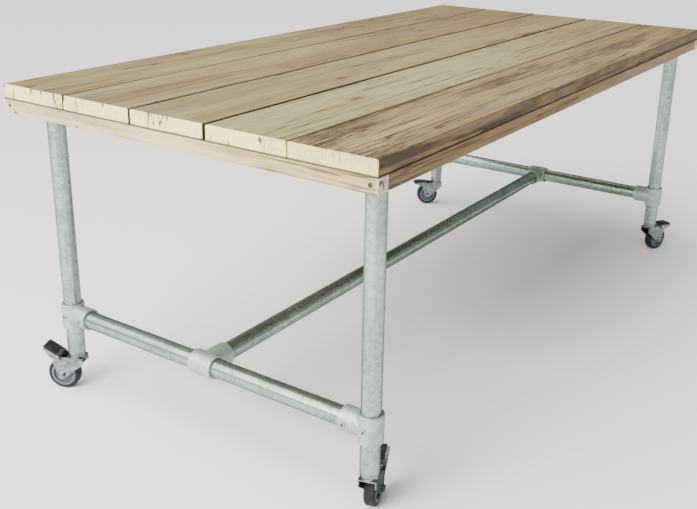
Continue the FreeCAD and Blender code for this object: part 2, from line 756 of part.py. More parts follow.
def make_wheel(corner):
    """Hub with its raised rings, and the tyre on it, both turned about the axle."""
    hub = doc.addObject("PartDesign::Body", "hub_body_" + corner)
    bore = "(BushDiameter / 2 + AxleClearance)"
    rim_inner = "(" + HUB_RADIUS + " - HubRimThick)"
    half = [
        (bore, "HubWidth / 2"),
        ("HubBossRadius", "HubWidth / 2"),
        ("HubBossRadius", "HubWebThick / 2"),
        ("HubRingRadius", "HubWebThick / 2"),
        ("HubRingRadius", "HubWebThick / 2 + HubRingHeight"),
        ("HubRingRadius + HubRingWidth", "HubWebThick / 2 + HubRingHeight"),
        ("HubRingRadius + HubRingWidth", "HubWebThick / 2"),
        (rim_inner, "HubWebThick / 2"),
        (rim_inner, "TyreWidth / 2"),
        (HUB_RADIUS, "TyreWidth / 2"),
    ]
    mirrored = [(radius, "-" + across.replace(" + ", " - ")) for radius, across in reversed(half)]
    turned(hub, "Revolution", "hub_turned_" + corner,
           outline(hub, "hub_outline_" + corner, "XY_Plane", half + mirrored))
    node(swivelled(corner, hub, "Trail", AXLE_Z), "wheel_hub_" + corner)
    tyre = doc.addObject("PartDesign::Body", "tyre_body_" + corner)
    tread = "(WheelDiameter / 2)"
    half = [
        (HUB_RADIUS, "TyreWidth / 2"),
        (tread + " - TyreShoulder", "TyreWidth / 2"),
        (tread + " - TyreShoulder / 4", "TyreWidth / 2 - TyreShoulder / 2"),
        (tread, "TyreWidth / 2 - TyreShoulder"),
    ]
    mirrored = [(radius, "-(" + across + ")") for radius, across in reversed(half)]
    turned(tyre, "Revolution", "tyre_turned_" + corner,
           outline(tyre, "tyre_outline_" + corner, "XY_Plane", half + mirrored))
    node(swivelled(corner, tyre, "Trail", AXLE_Z), "tyre_" + corner)


# ---------------------------------------------------------------- brake pedals

def pedal_top(along):
    """Height of the pedal plate over the pin at a distance along it."""
    slope = "PedalDrop / (PedalReach - PedalStart)"
    return "(PedalRise - " + slope + " * (" + along + " - PedalStart))"


def make_pedal(corner):
    """Steel pedal: a channel over the fork's cheeks with a brake shoe under it."""
    raised = CORNERS[corner][3]
    tilt = value("PedalTravel") if raised else 0
    body = doc.addObject("PartDesign::Body", "pedal_body_" + corner)
    inner_end = "(PedalReach - PedalSheet)"
    side = outline(body, "pedal_outline_" + corner, "XZ_Plane", [
        ("-PinHead * 2 / 3", "-PinHead / 2"),
        ("-PinHead * 2 / 3", "PinHead / 3"),
        ("PedalStart", "PedalRise"),
        ("PedalReach", pedal_top("PedalReach")),
        ("PedalReach", pedal_top("PedalReach") + " - PedalSheet * 2"),
        ("ShoeEnd", "-PedalDepth"),
        ("ShoeStart", "-PedalDepth"),
    ])
    through(body, "Pad", "pedal_side_" + corner, side, PEDAL_OUTER)
    channel = outline(body, "channel_outline_" + corner, "XZ_Plane", [
        ("-PinHead", "-PedalDepth - 1"),
        ("-PinHead", "PedalRise + 1"),
        ("PedalStart", "PedalRise + 1"),
        ("PedalStart", "PedalRise - PedalSheet"),
        (inner_end, pedal_top(inner_end) + " - PedalSheet"),
        (inner_end, "-PedalDepth - 1"),
    ])
    through(body, "Pocket", "channel_" + corner, channel, PEDAL_INNER)
    low = "(-PedalDepth * 2)"
    shoe = outline(body, "shoe_outline_" + corner, "XZ_Plane", [
        ("ShoeStart", low),
        ("ShoeStart", pedal_top("ShoeStart") + " - PedalSheet / 2"),
        ("ShoeEnd", pedal_top("ShoeEnd") + " - PedalSheet / 2"),
        ("ShoeEnd", low),
    ])
    through(body, "Pad", "shoe_" + corner, shoe, "ShoeWidth")
    tyre = ring(body, "shoe_ring_" + corner, "XZ_Plane", "-PinBeyondAxle", AXLE_Z + " - " + PIN_Z,
                "WheelDiameter / 2 + ShoeGap")
    through(body, "Pocket", "shoe_face_" + corner, tyre, "ShoeWidth + 1")
    pin = ring(body, "pedal_pin_ring_" + corner, "XZ_Plane", "0", "0",
               "PinDiameter / 2 + AxleClearance")
    through(body, "Pocket", "pedal_pin_hole_" + corner, pin, PEDAL_OUTER + " + 2")
    node(swivelled(corner, body, PIN_X, PIN_Z, tilt), "pedal_" + corner)

    pad = doc.addObject("PartDesign::Body", "pad_body_" + corner)
    pad_end = "(PedalReach + PadOverhang)"
    cover = outline(pad, "pad_outline_" + corner, "XZ_Plane", [
        ("PadStart", pedal_top("PadStart")),
        ("PadStart", pedal_top("PadStart") + " + PadThick * 3 / 4"),
        ("PadStart + PadThick", pedal_top("PadStart + PadThick") + " + PadThick"),
        ("PedalReach", pedal_top("PedalReach") + " + PadThick"),
        (pad_end, pedal_top("PedalReach") + " + PadThick / 3"),
        (pad_end, pedal_top("PedalReach") + " - PadThick"),
        ("PedalReach", pedal_top("PedalReach") + " - PadThick"),
        ("PedalReach", pedal_top("PedalReach")),
    ])
    through(pad, "Pad", "pad_cover_" + corner, cover, "PadWidth")
    node(swivelled(corner, pad, PIN_X, PIN_Z, tilt), "pedal_pad_" + corner)


# ---------------------------------------------------------------- check and export

def check_and_export():
    doc.recompute()
    for item in doc.Objects:
        if "Invalid" in item.State or "Error" in item.State:
            raise RuntimeError(item.Name + " has not recomputed: " + str(item.State))
    os.makedirs("parts", exist_ok=True)
    for item in nodes:
        if item.Shape.isNull() or not item.Shape.isValid():
            raise RuntimeError(item.Label + " has no valid shape")
        item.Shape.exportStep("parts/" + item.Label + ".step")
    print(len(nodes), "pieces written")


fill_sheet()
screw_holes = make_screws()
make_planks(screw_holes)
make_laths(screw_holes)
make_battens(screw_holes)
make_tubes()
make_spigots()
make_grub_screws(make_tees())
make_castor_heads()
for corner_name in CORNERS:
    make_fork(corner_name)
    make_axle_set(corner_name)
    make_wheel(corner_name)
    make_pedal(corner_name)
check_and_export()
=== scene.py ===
import math
import bmesh
import bpy
from mathutils import Matrix, Vector, noise


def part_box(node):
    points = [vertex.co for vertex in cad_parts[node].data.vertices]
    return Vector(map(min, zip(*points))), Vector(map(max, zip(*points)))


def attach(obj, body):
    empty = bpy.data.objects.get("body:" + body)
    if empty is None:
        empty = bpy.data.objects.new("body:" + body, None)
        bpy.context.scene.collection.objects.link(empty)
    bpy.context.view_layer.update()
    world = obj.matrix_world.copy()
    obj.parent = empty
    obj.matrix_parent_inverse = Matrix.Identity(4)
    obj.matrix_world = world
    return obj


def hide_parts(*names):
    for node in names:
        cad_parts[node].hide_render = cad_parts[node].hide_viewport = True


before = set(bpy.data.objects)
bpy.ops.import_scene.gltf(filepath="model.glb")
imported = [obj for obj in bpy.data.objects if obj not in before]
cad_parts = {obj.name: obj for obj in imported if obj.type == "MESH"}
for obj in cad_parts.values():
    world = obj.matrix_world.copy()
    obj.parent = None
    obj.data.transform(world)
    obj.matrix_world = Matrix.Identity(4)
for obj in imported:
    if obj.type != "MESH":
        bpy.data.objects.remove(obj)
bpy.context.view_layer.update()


# ---------------------------------------------------------------- studio
# A pale seamless floor under wide soft daylight. A large panel of light on the left makes the
# fresh end grain the brightest face, and a weaker one hangs over the top.

def add(tree, kind, inputs=None, **settings):
    """One shader node, with its settings, and its inputs set or linked."""
    made = tree.nodes.new(kind)
    for name, value in settings.items():
        setattr(made, name, value)
    for name, value in (inputs or {}).items():
        if isinstance(value, bpy.types.NodeSocket):
            tree.links.new(value, made.inputs[name])
        else:
            made.inputs[name].default_value = value
    return made


def finish(name):
    """A new material with its tree and its Principled BSDF."""
    made = bpy.data.materials.new(name)
    made.use_nodes = True
    return made, made.node_tree, made.node_tree.nodes["Principled BSDF"]


floor_half_width = 30.0
floor_mesh = bmesh.new()
bmesh.ops.create_grid(floor_mesh, x_segments=1, y_segments=1, size=floor_half_width)
floor_data = bpy.data.meshes.new("studio_floor")
floor_mesh.to_mesh(floor_data)
floor_mesh.free()
floor = bpy.data.objects.new("studio_floor", floor_data)
bpy.context.scene.collection.objects.link(floor)
floor_paint, _, floor_shader = finish("pale_floor")
floor_shader.inputs["Base Color"].default_value = (0.97, 0.97, 0.965, 1)
floor_shader.inputs["Roughness"].default_value = 0.9
floor_data.materials.append(floor_paint)

world = bpy.data.worlds.new("studio")
bpy.context.scene.world = world
world.use_nodes = True
world.node_tree.nodes["Background"].inputs["Color"].default_value = (1.0, 1.0, 0.99, 1)
# The room gives a low light, but is seen as pale as the floor.
room_light_strength = 0.4
added_when_seen = 1.0
room_is_seen = add(world.node_tree, "ShaderNodeLightPath").outputs["Is Camera Ray"]
room_light = add(world.node_tree, "ShaderNodeMath", {
    0: room_is_seen, 1: added_when_seen, 2: room_light_strength}, operation="MULTIPLY_ADD").outputs[0]
world.node_tree.links.new(room_light, world.node_tree.nodes["Background"].inputs["Strength"])


def panel(name, place, aim, width, height, watts):
    """A rectangular soft light facing a point."""
    light = bpy.data.lights.new(name, "AREA")
    light.shape = "RECTANGLE"
    light.size = width
    light.size_y = height
    light.energy = watts
    made = bpy.data.objects.new(name, light)
    made.location = place
    made.rotation_euler = (Vector(aim) - Vector(place)).to_track_quat("-Z", "Y").to_euler()
    bpy.context.scene.collection.objects.link(made)


table_middle = (0, 0, 0.4)
panel("end_panel", (-4.2, 0.3, 2.2), table_middle, 2.4, 2.0, 250)
panel("top_panel", (0.5, 1.2, 4.5), table_middle, 3.5, 3.5, 50)
daylight = bpy.data.lights.new("daylight", "SUN")
daylight.energy = 4.6
daylight.angle = math.radians(70)
daylight_object = bpy.data.objects.new("daylight", daylight)
daylight_object.rotation_euler = Vector((0.55, -0.25, -0.8)).to_track_quat("-Z", "Y").to_euler()
bpy.context.scene.collection.objects.link(daylight_object)

# The camera stands off the near left corner, a little above the top.
camera_place = Vector((-2.2576, -1.2962, 1.2158))
camera_yaw = 0.9983
camera_pitch = 0.3367
camera_roll = 0.0241
ahead = Vector((math.sin(camera_yaw) * math.cos(camera_pitch),
                math.cos(camera_yaw) * math.cos(camera_pitch),
                -math.sin(camera_pitch)))
level_right = Vector((math.cos(camera_yaw), -math.sin(camera_yaw), 0))
level_up = level_right.cross(ahead)
right = math.cos(camera_roll) * level_right + math.sin(camera_roll) * level_up
up = math.cos(camera_roll) * level_up - math.sin(camera_roll) * level_right
camera_data = bpy.data.cameras.new("camera")
camera_data.lens = 47.81
camera_data.sensor_width = 36
camera_data.shift_x = -0.0335
camera_data.shift_y = -0.0619
camera_data.clip_end = 100
camera = bpy.data.objects.new("camera", camera_data)
camera.matrix_world = Matrix.Translation(camera_place) @ Matrix(
    (right, up, -ahead)).transposed().to_4x4()
bpy.context.scene.collection.objects.link(camera)
bpy.context.scene.camera = camera


# ---------------------------------------------------------------- top planks
# Five old scaffold planks of spruce, brushed and sanded over their grey weathering, with saw-cut
# ends. Each one is screwed down from below to the battens and edge laths, with uneven gaps.

def group(name, inputs, outputs):
    """An empty shader node group with named sockets. Returns the tree, its input and output."""
    tree = bpy.data.node_groups.new(name, "ShaderNodeTree")
    for label, kind, value in inputs:
        tree.interface.new_socket(label, in_out="INPUT", socket_type=kind).default_value = value
    for label, kind in outputs:
        tree.interface.new_socket(label, in_out="OUTPUT", socket_type=kind)
    return tree, tree.nodes.new("NodeGroupInput"), tree.nodes.new("NodeGroupOutput")


def maths(tree, operation, first, second=0.0):
    """The result of one Math node."""
    return add(tree, "ShaderNodeMath", {0: first, 1: second}, operation=operation).outputs[0]


def product(tree, *factors):
    """All the factors multiplied together."""
    result = factors[0]
    for factor in factors[1:]:
        result = maths(tree, "MULTIPLY", result, factor)
    return result


def total(tree, *terms):
    """All the terms added together."""
    result = terms[0]
    for term in terms[1:]:
        result = maths(tree, "ADD", result, term)
    return result


def gap_to(tree, value, centre):
    """How far a value lies from a centre, on either side."""
    return maths(tree, "ABSOLUTE", maths(tree, "SUBTRACT", value, centre))


def between(tree, value, low, high, start=0.0, end=1.0):
    """A soft step of a value from one level to another."""
    return add(tree, "ShaderNodeMapRange", {
        "Value": value, "From Min": low, "From Max": high, "To Min": start, "To Max": end},
        interpolation_type="SMOOTHSTEP").outputs[0]


def blended(tree, share, first, second):
    """The first colour, with a share of the second over it."""
    return add(tree, "ShaderNodeMix", {0: share, 6: first, 7: second}, data_type="RGBA").outputs[2]


def layered(tree, color, layers):
    """A colour under layers, each with a mask, a strength and the colour of its stain."""
    for mask, strength, stain in layers:
        color = blended(tree, product(tree, mask, strength), color, stain)
    return color


def stretched(tree, vector, scale):
    """A space with its own scale along each axis."""
    return add(tree, "ShaderNodeVectorMath", {0: vector, 1: scale}, operation="MULTIPLY").outputs[0]


def cloud(tree, vector, scale, detail=3.0, roughness=0.55):
    """Noise in a stretched space."""
    return add(tree, "ShaderNodeTexNoise", {
        "Vector": stretched(tree, vector, scale), "Scale": 1.0, "Detail": detail,
        "Roughness": roughness}).outputs["Fac"]


def scattered(tree, vector, scale, randomness=1.0):
    """Cells with one spot each, and the channels of a colour drawn for each cell."""
    cells = add(tree, "ShaderNodeTexVoronoi", {
        "Vector": stretched(tree, vector, scale), "Scale": 1.0, "Randomness": randomness},
        voronoi_dimensions="2D")
    random_color = add(tree, "ShaderNodeSeparateColor", {0: cells.outputs["Color"]})
    return cells, random_color.outputs


# Grain runs along the vector's X, and Offset makes one board differ from the next.
wood_tree, wood_in, wood_out = group("weathered_wood", [
    ("Vector", "NodeSocketVector", (0, 0, 0)),
    ("Offset", "NodeSocketVector", (0, 0, 0)),
    ("Pale", "NodeSocketColor", (0.5, 0.42, 0.3, 1)),
    ("Mid", "NodeSocketColor", (0.36, 0.28, 0.19, 1)),
    ("Dark", "NodeSocketColor", (0.15, 0.1, 0.065, 1)),
    ("Far", "NodeSocketColor", (0.33, 0.23, 0.13, 1)),
    ("Cut End", "NodeSocketColor", (0.8, 0.68, 0.47, 1)),
    ("Half Length", "NodeSocketFloat", 1.0),
    ("Weathering", "NodeSocketFloat", 0.4),
    ("Figure", "NodeSocketFloat", 0.35),
    ("Knots", "NodeSocketFloat", 1.0),
    ("Middle", "NodeSocketFloat", 0.0),
    ("Half Width", "NodeSocketFloat", 5.0),
    ("Splinters", "NodeSocketFloat", 0.0),
], [("Color", "NodeSocketColor"), ("Roughness", "NodeSocketFloat"), ("Height", "NodeSocketFloat")])
tree = wood_tree
rings_per_metre = 95.0
ring_waviness = 11.0
layer_joint_height = 0.754
board_place = add(tree, "ShaderNodeSeparateXYZ", {0: wood_in.outputs["Vector"]}).outputs
grain = add(tree, "ShaderNodeVectorMath", {
    0: wood_in.outputs["Vector"], 1: wood_in.outputs["Offset"]}, operation="ADD").outputs[0]
grain_place = add(tree, "ShaderNodeSeparateXYZ", {0: grain}).outputs
patches = cloud(tree, grain, (1.1, 7.0, 7.0), 3.0)
stains = cloud(tree, grain, (2.6, 16.0, 16.0), 5.0, 0.65)
streaks = cloud(tree, grain, (2.4, 120.0, 120.0), 6.0, 0.62)
fibres = cloud(tree, grain, (16.0, 520.0, 520.0), 4.0, 0.7)
fine_lines = cloud(tree, grain, (3.5, 300.0, 300.0), 4.0, 0.7)
grey_wash = cloud(tree, grain, (1.7, 9.0, 9.0), 5.0, 0.7)
bends = cloud(tree, grain, (0.9, 4.5, 4.5), 2.0)
ring_phase = total(tree, product(tree, grain_place[1], rings_per_metre),
                   product(tree, bends, ring_waviness))
rings = maths(tree, "ABSOLUTE", maths(tree, "SINE", product(tree, ring_phase, math.pi)))
late_wood = product(tree, between(tree, rings, 0.7, 1.0), between(tree, patches, 0.4, 0.6, 0.35, 1.0))

# Knots are scattered ovals with a dark heart and a paler rim. They are laid out on the face and
# the edge at once, so that neither shows them as stripes.
unrolled = add(tree, "ShaderNodeCombineXYZ", {
    0: grain_place[0], 1: total(tree, grain_place[1], grain_place[2])}).outputs[0]
knot_cells, knot_random = scattered(tree, unrolled, (2.2, 5.5, 1.0), 0.9)
knot_here = product(tree, between(tree, knot_random[0], 0.4, 0.45), wood_in.outputs["Knots"])
knot_heart = product(tree, between(tree, knot_cells.outputs["Distance"], 0.045, 0.03), knot_here)
knot_rim = product(tree, between(tree, knot_cells.outputs["Distance"], 0.12, 0.04), knot_here)

# Drying cracks are thin lines along the grain, only in some stretches.
crack_gap = gap_to(tree, cloud(tree, grain, (1.1, 55.0, 55.0), 4.0), 0.5)
crack_stretch = between(tree, cloud(tree, grain, (2.0, 12.0, 12.0), 2.0), 0.49, 0.55)
cracks = product(tree, between(tree, crack_gap, 0.018, 0.007), crack_stretch)

# Nail holes and knocks are small dark dots.
dot_cells, dot_random = scattered(tree, unrolled, (7.0, 15.0, 1.0))
dots = product(tree, between(tree, dot_cells.outputs["Distance"], 0.06, 0.035),
               between(tree, dot_random[1], 0.8, 0.82))

# Torn fibres near the left end are dark hollows between pale splinters.
torn_place = total(tree, board_place[0], product(tree, stains, -0.9))
torn = product(tree, between(tree, torn_place, -1.15, -1.4), wood_in.outputs["Splinters"])
splinters = cloud(tree, grain, (14.0, 150.0, 150.0), 5.0, 0.75)

# A sawn end shows rings about a heart below the board, darker patches and a few short checks.
end_here = between(tree, maths(tree, "SUBTRACT", maths(tree, "ABSOLUTE", board_place[0]),
                               wood_in.outputs["Half Length"]), -0.0022, -0.0012)
heart_y = maths(tree, "SUBTRACT", maths(tree, "FRACT", product(tree, grain_place[1], 4.1)), 0.5)
heart_z = total(tree, product(tree, grain_place[2], 5.0), 1.2)
heart_gap = maths(tree, "SQRT", total(tree, product(tree, heart_y, heart_y),
                                      product(tree, heart_z, heart_z)))
end_rings = between(tree, maths(tree, "SINE", product(tree, heart_gap, 210.0)), 0.2, 1.0)
end_patches = cloud(tree, grain, (1.0, 14.0, 22.0), 4.0)
check_gap = gap_to(tree, cloud(tree, grain, (1.0, 26.0, 3.0), 3.0), 0.5)
end_color = layered(tree, wood_in.outputs["Cut End"], [
    (end_rings, 0.2, (0.42, 0.3, 0.17, 1)),
    (between(tree, end_patches, 0.5, 0.7, 0.0, 0.6), 1.0, (0.52, 0.4, 0.25, 1)),
    (between(tree, check_gap, 0.016, 0.006), between(tree, end_patches, 0.47, 0.55),
     (0.12, 0.08, 0.05, 1)),
])

# Painted shade: a dark line is painted in the joint between the two layers and along the board's long
# edges, where the gaps lie in shade.
joint_gap = total(tree, gap_to(tree, board_place[2], layer_joint_height), product(tree, fibres, 0.001))
joint_painted_shade = between(tree, joint_gap, 0.0036, 0.0018, 0.0, 0.9)
side_gap = total(tree, maths(tree, "SUBTRACT", wood_in.outputs["Half Width"],
                             gap_to(tree, board_place[1], wood_in.outputs["Middle"])),
                 product(tree, stains, 0.008))
side_painted_shade = product(tree, between(tree, side_gap, 0.0085, 0.003, 0.0, 0.75),
                    maths(tree, "SUBTRACT", 1.0, end_here))
edge_painted_shade = maths(tree, "MAXIMUM", joint_painted_shade, side_painted_shade)

pale = wood_in.outputs["Pale"]
dark = wood_in.outputs["Dark"]
worn = between(tree, total(tree, stains, product(tree, streaks, 0.6)), 0.78, 1.0)
base_color = blended(tree, between(tree, patches, 0.35, 0.65), wood_in.outputs["Mid"], pale)
wood_color = layered(tree, base_color, [
    (between(tree, board_place[0], -0.5, 1.0), 0.75, wood_in.outputs["Far"]),
    (late_wood, wood_in.outputs["Figure"], dark),
    (worn, wood_in.outputs["Weathering"], dark),
    (between(tree, streaks, 0.54, 0.68), 0.38, dark),
    (between(tree, streaks, 0.46, 0.34), 0.45, pale),
    (between(tree, grey_wash, 0.54, 0.66), 0.4, (0.2, 0.19, 0.165, 1)),
    (between(tree, fibres, 0.4, 0.7), 0.35, dark),
    (between(tree, fine_lines, 0.56, 0.64), 0.4, dark),
    (between(tree, splinters, 0.47, 0.58), torn, (0.06, 0.036, 0.02, 1)),
    (product(tree, between(tree, splinters, 0.42, 0.34), torn), 0.7, (0.62, 0.5, 0.3, 1)),
    (knot_rim, 0.7, (0.23, 0.145, 0.075, 1)),
    (knot_heart, 0.9, (0.1, 0.06, 0.035, 1)),
    (dots, 0.8, (0.07, 0.05, 0.035, 1)),
    (cracks, 0.75, (0.06, 0.04, 0.025, 1)),
    (end_here, 1.0, end_color),
    # painted shade in the layer joint and along the gaps between boards
    (edge_painted_shade, 1.0, (0.05, 0.034, 0.022, 1)),
])
wood_height = total(
    tree, product(tree, fibres, 0.35), product(tree, streaks, 0.6),
    product(tree, splinters, torn, 3.0), product(tree, cracks, -1.2), product(tree, dots, -0.8),
    product(tree, late_wood, 0.15))
tree.links.new(wood_color, wood_out.inputs["Color"])
tree.links.new(between(tree, streaks, 0.3, 0.7, 0.82, 0.62), wood_out.inputs["Roughness"])
tree.links.new(wood_height, wood_out.inputs["Height"])


def wood_finish(name, turned=False, relief=0.0012, **values):
    """A wood material, turned for a board whose grain runs along Y, with the depth of its relief."""
    made, tree, shader = finish(name)
    where = add(tree, "ShaderNodeTexCoord").outputs["Object"]
    if turned:
        where = add(tree, "ShaderNodeMapping", {
            "Vector": where, "Rotation": (0, 0, -math.pi / 2)}).outputs[0]
    timber = add(tree, "ShaderNodeGroup", node_tree=wood_tree)
    tree.links.new(where, timber.inputs["Vector"])
    for label, value in values.items():
        timber.inputs[label.replace("_", " ")].default_value = value
    bump = add(tree, "ShaderNodeBump", {
        "Height": timber.outputs["Height"], "Distance": relief, "Strength": 0.8})
    tree.links.new(timber.outputs["Color"], shader.inputs["Base Color"])
    tree.links.new(timber.outputs["Roughness"], shader.inputs["Roughness"])
    tree.links.new(bump.outputs["Normal"], shader.inputs["Normal"])
    shader.inputs["Specular IOR Level"].default_value = 0.25
    return made


def shown(name, mesh, body, materials, replaced):
    """Turn a bmesh into a piece that rides on a body and stands for CAD nodes."""
    bmesh.ops.recalc_face_normals(mesh, faces=mesh.faces)
    data = bpy.data.meshes.new(name)
    mesh.to_mesh(data)
    mesh.free()
    for material in materials:
        data.materials.append(material)
    made = bpy.data.objects.new(name, data)
    bpy.context.scene.collection.objects.link(made)
    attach(made, body)
    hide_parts(*replaced)
    return made


def edges_along(board, axis, least):
    """The board's edges that reach further than a length along an axis."""
    return [edge for edge in board.edges
            if abs(edge.verts[0].co[axis] - edge.verts[1].co[axis]) > least]


def old_board(cad_name, seed, cuts_along, wear, front_wane=0.0):
    """A board in its CAD place, with softened, ragged edges, a brushed face and chipped ends.

    wear is how deep its long edges are worn, and front_wane how deep lumps are broken from the
    front one. seed makes its wear differ from the next board's.
    """
    arris = 0.0022
    cuts_across = 17
    cuts_deep = 3
    edge_zone = 0.004
    face_zone = 0.003
    end_zone = 0.001
    sharp_angle = 0.6
    low, high = (Vector(corner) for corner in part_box(cad_name))
    size = high - low
    board = bmesh.new()
    bmesh.ops.create_cube(board, size=1.0)
    bmesh.ops.scale(board, vec=size, verts=board.verts)
    bmesh.ops.translate(board, vec=(low + high) / 2, verts=board.verts)
    bmesh.ops.bevel(board, geom=edges_along(board, 0, size.x / 2), offset=arris, offset_type="OFFSET",
                    segments=3, profile=0.5, affect="EDGES", material=-1)
    for axis, share, cuts in ((1, 0.8, cuts_across), (2, 0.7, cuts_deep), (0, 0.5, cuts_along)):
        bmesh.ops.subdivide_edges(board, edges=edges_along(board, axis, size[axis] * share), cuts=cuts,
                                  use_grid_fill=True)
    for vert in board.verts:
        place = vert.co
        wave = noise.noise(Vector((place.x * 6, place.y * 3, seed)))
        ragged = noise.noise(Vector((place.x * 55, place.z * 40, seed + 7)))
        furrow = noise.noise(Vector((place.x * 5, place.y * 130, place.z * 130 + seed)))
        to_back = high.y - place.y
        to_front = place.y - low.y
        if min(to_back, to_front) < edge_zone:
            inward = 1 if to_front < to_back else -1
            near_top = max(0.0, (place.z - low.z) / size.z)
            bite = wear * (0.5 + 0.5 * wave + 0.7 * max(0.0, ragged)) * (0.3 + 0.7 * near_top)
            if inward > 0 and front_wane:
                lump = noise.noise(Vector((place.x * 14, place.z * 60, seed + 3)))
                bite += front_wane * max(0.0, 0.35 + lump)
            place.y += inward * max(0.0, bite)
        if high.z - place.z < face_zone:
            place.z -= wear * 0.35 * max(0.0, 0.4 + furrow)
        to_end = min(place.x - low.x, high.x - place.x)
        if to_end < end_zone and high.z - place.z < size.z * 0.3:
            chip = noise.noise(Vector((place.y * 70, place.z * 90, seed + 2)))
            place.x += (1 if place.x < 0 else -1) * wear * 1.3 * max(0.0, 0.2 + chip)
    for face in board.faces:
        face.smooth = True
    for edge in board.edges:
        if edge.calc_face_angle(0.0) > sharp_angle:
            edge.smooth = False
    return board


plank_looks = {
    "plank_1": dict(Offset=(3.1, 0.4, 0), Pale=(0.386, 0.304, 0.149, 1), Mid=(0.252, 0.185, 0.0853, 1),
                    Dark=(0.084, 0.0528, 0.027, 1), Far=(0.252, 0.17, 0.0682, 1), Weathering=0.3),
    "plank_2": dict(Offset=(7.7, 1.9, 0), Pale=(0.386, 0.296, 0.139, 1), Mid=(0.244, 0.175, 0.0759, 1),
                    Dark=(0.077, 0.0462, 0.024, 1), Far=(0.252, 0.166, 0.0651, 1), Weathering=0.25),
    "plank_3": dict(Offset=(1.3, 5.2, 0), Pale=(0.42, 0.34, 0.168, 1), Mid=(0.281, 0.217, 0.105, 1),
                    Dark=(0.084, 0.0561, 0.033, 1), Far=(0.286, 0.198, 0.0806, 1), Weathering=0.3),
    "plank_4": dict(Offset=(9.2, 3.3, 0), Pale=(0.462, 0.389, 0.195, 1), Mid=(0.303, 0.241, 0.113, 1),
                    Dark=(0.098, 0.0693, 0.0372, 1), Far=(0.286, 0.194, 0.0806, 1), Weathering=0.35),
    "plank_5": dict(Offset=(5.6, 8.1, 0), Pale=(0.437, 0.336, 0.155, 1), Mid=(0.244, 0.171, 0.0715, 1),
                    Dark=(0.0665, 0.0396, 0.021, 1), Far=(0.26, 0.174, 0.0713, 1), Weathering=0.8,
                    Figure=0.55, Splinters=1.0),
}
cut_end_cream = (0.96, 0.755, 0.31, 1)
front_edge_look = wood_finish(
    "plank_front_edge", relief=0.0025, Offset=(2.2, 6.4, 1.0), Pale=(0.34, 0.225, 0.11, 1),
    Mid=(0.155, 0.098, 0.052, 1), Dark=(0.045, 0.028, 0.018, 1), Far=(0.25, 0.175, 0.09, 1),
    Cut_End=cut_end_cream, Weathering=0.8, Figure=0.6)
# Painted shade: the long sides that face a gap between boards get near-black wood, standing for the
# shade in the narrow gaps.
gap_side_painted_shade = wood_finish(
    "plank_gap_edge_painted_shade", Offset=(6.2, 1.4, 1.0), Pale=(0.1, 0.07, 0.045, 1), Mid=(0.06, 0.04, 0.027, 1),
    Dark=(0.025, 0.017, 0.012, 1), Far=(0.08, 0.055, 0.035, 1), Cut_End=cut_end_cream)

open_edge = 1
gap_edge = 2
arris_height = 0.0018
long_side_depth = 0.005
for number, (plank_name, look) in enumerate(plank_looks.items()):
    is_front = plank_name == "plank_5"
    is_back = plank_name == "plank_1"
    plank = old_board(plank_name, seed=11.0 + 5 * number, cuts_along=199,
                      wear=0.0018 if is_front else 0.0011, front_wane=0.0022 if is_front else 0.0)
    plank_low, plank_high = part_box(plank_name)
    plank_middle = (plank_low[1] + plank_high[1]) / 2
    for face in plank.faces:
        place = face.calc_center_median()
        below_arris = place.z < plank_high[2] - arris_height and abs(face.normal.x) < 0.9
        if below_arris and min(place.y - plank_low[1], plank_high[1] - place.y) < long_side_depth:
            outside = is_front if place.y < plank_middle else is_back
            # Sides facing a gap take the painted-shade wood; open sides take the weathered front-edge
            # wood.
            face.material_index = open_edge if outside else gap_edge
    face_look = wood_finish(plank_name + "_wood", Cut_End=cut_end_cream,
                            relief=0.002 if is_front else 0.0012, Middle=plank_middle,
                            Half_Width=(plank_high[1] - plank_low[1]) / 2, **look)
    piece = shown(plank_name + "_board", plank, "table",
                  [face_look, front_edge_look, gap_side_painted_shade], [plank_name])


# ---------------------------------------------------------------- edge laths
# Sawn spruce laths round the underside of the planks, so that the top looks twice as thick. They
# are screwed up into the planks, and the end laths are screwed into the ends of the side laths.

side_lath_look = dict(Pale=(0.34, 0.222, 0.1, 1), Mid=(0.2, 0.122, 0.053, 1),
                      Dark=(0.13, 0.08, 0.045, 1), Far=(0.4, 0.285, 0.16, 1), Weathering=0.4,
                      Knots=0.5, Figure=0.35, Cut_End=cut_end_cream)
for lath_name, offset in (("side_lath_front", (4.4, 2.7, 0.3)), ("side_lath_back", (8.3, 0.9, 0.7))):
    lath = old_board(lath_name, seed=offset[0] * 3, cuts_along=120, wear=0.0006)
    lath_look = wood_finish(lath_name + "_wood", Offset=offset, **side_lath_look)
    piece = shown(lath_name + "_board", lath, "table", [lath_look], [lath_name])


def painted(names, material):
    """Give CAD nodes a material of their own."""
    for name in names:
        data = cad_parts[name].data
        data.materials.clear()
        data.materials.append(material)


end_lath_half_length = 0.4975
end_lath_look = dict(turned=True, Pale=(0.72, 0.545, 0.26, 1), Mid=(0.45, 0.325, 0.155, 1),
                     Dark=(0.2, 0.13, 0.07, 1), Far=(0.78, 0.62, 0.36, 1), Weathering=0.6,
                     Knots=0.6, Figure=0.2, Half_Length=end_lath_half_length,
                     Cut_End=(0.8, 0.68, 0.48, 1))
for end, offset in (("left", (6.1, 3.8, 0.2)), ("right", (2.9, 7.4, 0.6))):
    painted(["end_lath_" + end], wood_finish("end_lath_wood_" + end, Offset=offset, **end_lath_look))


# ---------------------------------------------------------------- battens and spigots
# Rough battens across the underside tie the planks together. The end ones are bored for the legs,
# and inside each leg a turned plug is screwed to the plank above it.

